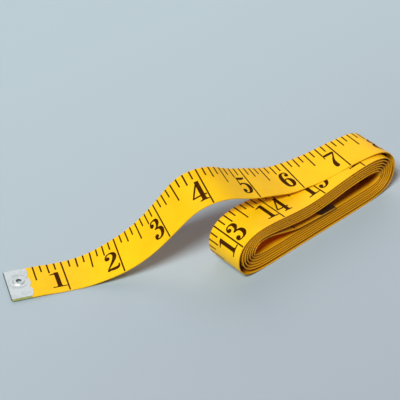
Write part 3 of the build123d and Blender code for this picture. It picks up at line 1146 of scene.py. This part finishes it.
def coated_ribbon(ribbon):
    """Yellow coated ribbon: a glossy coating over a woven core, rubbed along its edges, with painted shade on the
    hank's reverse face, the inner turns and the rim under the front end, and a painted glow at the inner end.
    """
    material, tree, shader = new_material("coated_ribbon")
    _, blotches, rubs = handled(tree, blotch_scale=70.0, rub_scale=1400.0)
    flat = node(tree, "ShaderNodeUVMap", uv_map="tape")
    threads = node(tree, "ShaderNodeMapping")
    threads.inputs["Scale"].default_value = (ribbon.length / ribbon.thread, ribbon.width / ribbon.thread, 1)
    tree.links.new(flat.outputs["UV"], threads.inputs["Vector"])
    weave = node(tree, "ShaderNodeGroup", node_tree=woven_core())
    tree.links.new(threads.outputs["Vector"], weave.inputs["Vector"])
    sides = node(tree, "ShaderNodeSeparateXYZ")
    tree.links.new(flat.outputs["UV"], sides.inputs[0])
    along = sides.outputs[0]
    from_middle = maths(tree, "ABSOLUTE", maths(tree, "SUBTRACT", sides.outputs[1], 0.5))

    turns = maths(tree, "SINE", maths(tree, "MULTIPLY", along, 2 * math.pi * ribbon.length / ribbon.cut_thread))
    cut = mixed(tree, ranged(tree, turns, -0.6, 0.6), ribbon.edge_colour, ribbon.thread_colour)
    outside = mixed(tree, blotches, ribbon.coat_colour, ribbon.deep_colour)
    # Painted shade on the hank's reverse face and on the inner turns, darkest in the middle of the width, with a
    # painted glow at the inner end
    reverse = node(tree, "ShaderNodeAttribute", attribute_name="reverse")
    within = maths(tree, "MULTIPLY", ranged(tree, along, *HANK_REVERSE), reverse.outputs["Fac"])
    inner = maths(tree, "MAXIMUM", ranged(tree, along, *INNER_TURNS), within)
    middle_shade_and_glow = mixed(tree, ranged(tree, along, *INNER_END), ribbon.unbleached_colour, ribbon.glow_colour)
    turn_shade = mixed(tree, ranged(tree, from_middle, *SHADE_ACROSS), middle_shade_and_glow, ribbon.inner_colour)
    coat = mixed(tree, inner, outside, turn_shade)
    worn = maths(tree, "MULTIPLY", ranged(tree, from_middle, *CUT_EDGE), ranged(tree, rubs, 0, 1, 0.6, 1))
    rubbed = maths(tree, "MULTIPLY", worn, ranged(tree, along, *CALM_EDGES, 0.35, 1))
    # Painted shade on the rim under the front metal end
    rim_shade = ranged(tree, along, *RIM_SHADE, 1, 0)
    whole = mixed(tree, rim_shade, mixed(tree, rubbed, coat, cut), ribbon.tucked_colour)
    tree.links.new(whole, shader.inputs["Base Color"])

    tree.links.new(ranged(tree, rubs, 0, 1, 0.36, 0.50), shader.inputs["Roughness"])
    height = maths(tree, "ADD", weave.outputs["Height"], maths(tree, "MULTIPLY", rubs, 0.35))
    bump(tree, shader, height, strength=0.12, distance=0.00004)
    shader.inputs["Specular IOR Level"].default_value = 0.16
    return material


def printing_ink(scale):
    """Dark brown ink, thin in places."""
    if "printing_ink" in bpy.data.materials:
        return bpy.data.materials["printing_ink"]
    material, tree, shader = new_material("printing_ink")
    _, blotches, rubs = handled(tree, blotch_scale=260.0, rub_scale=2600.0)
    share = maths(tree, "MULTIPLY", blotches, rubs)
    tree.links.new(mixed(tree, share, scale.ink_colour, scale.worn_colour), shader.inputs["Base Color"])
    tree.links.new(ranged(tree, rubs, 0, 1, 0.42, 0.6), shader.inputs["Roughness"])
    bump(tree, shader, rubs, strength=0.1, distance=0.00002)
    shader.inputs["Specular IOR Level"].default_value = 0.03
    return material


def nickel(end, part, metal, roughness, bore=None):
    """Nickel plate of the front or the rear end, with fine rubs, a darker tone round the fold and painted shade in the
    bore; the rear end's colours are painted shade.
    """
    if end == "front":
        finish, clear, dull = "nickel", metal.bright_colour, metal.dull_colour
    else:
        # Painted shade: the rear end's sheet and eyelet are painted dark
        finish, clear, dull = "shaded", metal.tarnish_colour, metal.stain_colour
    material, tree, shader = new_material(f"{finish}_{part}")
    place, blotches, rubs = handled(tree, blotch_scale=320.0, rub_scale=3200.0)
    plate = mixed(tree, ranged(tree, blotches, 0.45, 1, 0, 0.5), clear, dull)
    if bore is not None:
        # Painted shade in the eyelet's bore
        centred = node(tree, "ShaderNodeMapping")
        centred.inputs["Location"].default_value = [-c for c in bore]
        tree.links.new(place, centred.inputs["Vector"])
        away = node(tree, "ShaderNodeVectorMath", operation="LENGTH")
        tree.links.new(centred.outputs["Vector"], away.inputs[0])
        grime = ranged(tree, away.outputs["Value"], *BORE_SHADE, 1, 0)
    else:
        # The sheet is darker round the fold
        grime = node(tree, "ShaderNodeAttribute", attribute_name="grime").outputs["Fac"]
    tree.links.new(mixed(tree, grime, plate, metal.grime_colour), shader.inputs["Base Color"])
    tree.links.new(ranged(tree, rubs, 0, 1, roughness, roughness + 0.16), shader.inputs["Roughness"])
    bump(tree, shader, rubs, strength=0.06, distance=0.00003)
    shader.inputs["Metallic"].default_value = 1.0
    return material


def table_top(stage):
    """Plain pale table with a faint tone in it and painted shade that darkens its near side."""
    material, tree, shader = new_material("table_top")
    coordinates = node(tree, "ShaderNodeTexCoord")
    noise = node(tree, "ShaderNodeTexNoise", Scale=7.0, Detail=3.0)
    tree.links.new(coordinates.outputs["Object"], noise.inputs["Vector"])
    sides = node(tree, "ShaderNodeSeparateXYZ")
    tree.links.new(coordinates.outputs["Object"], sides.inputs[0])
    # Painted shade that darkens the table towards its near side, with a faint noise along its edge
    uneven = maths(tree, "ADD", sides.outputs[1], maths(tree, "MULTIPLY", noise.outputs[0], 0.06))
    near = ranged(tree, uneven, -0.22, 0.26, 1, 0)
    tree.links.new(mixed(tree, near, stage.table_colour, stage.near_colour), shader.inputs["Base Color"])
    tree.links.new(ranged(tree, noise.outputs[0], 0.3, 0.7, 0.75, 0.85), shader.inputs["Roughness"])
    shader.inputs["Specular IOR Level"].default_value = 0.2
    return material


def soft_sky(stage):
    """Soft light from all round, with a pale and a dim side that are seen and mirrored."""
    world = bpy.context.scene.world or bpy.data.worlds.new("soft_sky")
    bpy.context.scene.world = world
    world.use_nodes = True
    tree = world.node_tree
    tree.nodes.clear()
    out = node(tree, "ShaderNodeOutputWorld")
    light = node(tree, "ShaderNodeBackground", Color=(1.0, 1.0, 1.0, 1), Strength=stage.sky_strength)
    seen = node(tree, "ShaderNodeBackground", Strength=1.0)
    way = node(tree, "ShaderNodeTexCoord")
    facing = node(tree, "ShaderNodeVectorMath", operation="DOT_PRODUCT")
    facing.inputs[1].default_value = Vector(stage.fill_direction).normalized()
    tree.links.new(way.outputs["Generated"], facing.inputs[0])
    pale = ranged(tree, facing.outputs["Value"], 0.55, 0.96)
    tree.links.new(mixed(tree, pale, stage.dim_colour, stage.pale_colour), seen.inputs["Color"])
    path = node(tree, "ShaderNodeLightPath")
    share = maths(tree, "MAXIMUM", path.outputs["Is Camera Ray"], path.outputs["Is Glossy Ray"])
    either = node(tree, "ShaderNodeMixShader")
    tree.links.new(share, either.inputs[0])
    tree.links.new(light.outputs[0], either.inputs[1])
    tree.links.new(seen.outputs[0], either.inputs[2])
    tree.links.new(either.outputs[0], out.inputs[0])


class SEWINGTAPE_OT_set_stage(bpy.types.Operator):
    """Sets the table, the light and the camera"""

    bl_idname = "sewing_tape.set_stage"
    bl_label = "Set stage"

    def execute(self, context):
        stage = context.scene.sewing_tape.stage
        deselect()
        bpy.ops.mesh.primitive_plane_add(size=8, location=(0, 0, TABLE_TOP))
        table = context.object
        table.name = "table_top"
        bpy.ops.object.transform_apply(location=True, rotation=False, scale=False)
        table.data.materials.append(table_top(stage))

        lamps = (
            ("key_light", stage.key_direction, stage.key_strength, stage.key_colour, stage.key_spread),
            ("fill_light", stage.fill_direction, stage.fill_strength, stage.fill_colour, stage.fill_spread),
        )
        for name, direction, strength, colour, spread in lamps:
            way = Vector(direction).normalized()
            bpy.ops.object.light_add(type="SUN", location=way)
            lamp = context.object
            lamp.name = name
            lamp.rotation_mode = "QUATERNION"
            lamp.rotation_quaternion = way.to_track_quat("Z", "Y")
            lamp.data.energy = strength
            lamp.data.color = colour
            lamp.data.angle = spread
            lamp.visible_glossy = name == "key_light"
        soft_sky(stage)

        place, target = Vector(stage.camera_place), Vector(stage.camera_target)
        bpy.ops.object.camera_add(location=place)
        camera = context.object
        camera.rotation_mode = "QUATERNION"
        camera.rotation_quaternion = (target - place).to_track_quat("-Z", "Y")
        camera.data.sensor_width = 36
        camera.data.lens = stage.lens
        camera.data.clip_start, camera.data.clip_end = 0.01, 50
        context.scene.camera = camera
        context.scene.view_settings.view_transform = "Standard"
        return {"FINISHED"}


PIECE_OPERATORS = (
    SEWINGTAPE_OT_wind_ribbon,
    SEWINGTAPE_OT_print_inches,
    SEWINGTAPE_OT_print_centimetres,
    SEWINGTAPE_OT_declare_sheets,
    SEWINGTAPE_OT_press_tips,
    SEWINGTAPE_OT_finish_eyelets,
    SEWINGTAPE_OT_set_stage,
)


class SEWINGTAPE_PT_panel(bpy.types.Panel):
    """Steps and sizes of the sewing tape"""

    bl_idname = "SEWINGTAPE_PT_panel"
    bl_label = "Sewing tape"
    bl_space_type = "VIEW_3D"
    bl_region_type = "UI"
    bl_category = "Sewing tape"

    def draw(self, context):
        for operator in PIECE_OPERATORS:
            self.layout.operator(operator.bl_idname)
        settings = context.scene.sewing_tape
        for group in (settings.ribbon, settings.scale, settings.metal, settings.stage):
            box = self.layout.box()
            for name in group.__annotations__:
                box.prop(group, name)


CLASSES = (
    RibbonSettings, ScaleSettings, MetalSettings, StageSettings, SewingTapeSettings,
    *PIECE_OPERATORS, SEWINGTAPE_PT_panel,
)


def register():
    for kind in CLASSES:
        bpy.utils.register_class(kind)
    bpy.types.Scene.sewing_tape = PointerProperty(type=SewingTapeSettings)


def unregister():
    del bpy.types.Scene.sewing_tape
    for kind in reversed(CLASSES):
        bpy.utils.unregister_class(kind)


def main():
    register()
    bpy.ops.sewing_tape.wind_ribbon()
    bpy.ops.sewing_tape.print_inches()
    bpy.ops.sewing_tape.print_centimetres()
    bpy.ops.sewing_tape.declare_sheets()
    bpy.ops.sewing_tape.press_tips()
    bpy.ops.sewing_tape.finish_eyelets()
    bpy.ops.sewing_tape.set_stage()


if __name__ == "__main__":
    main()
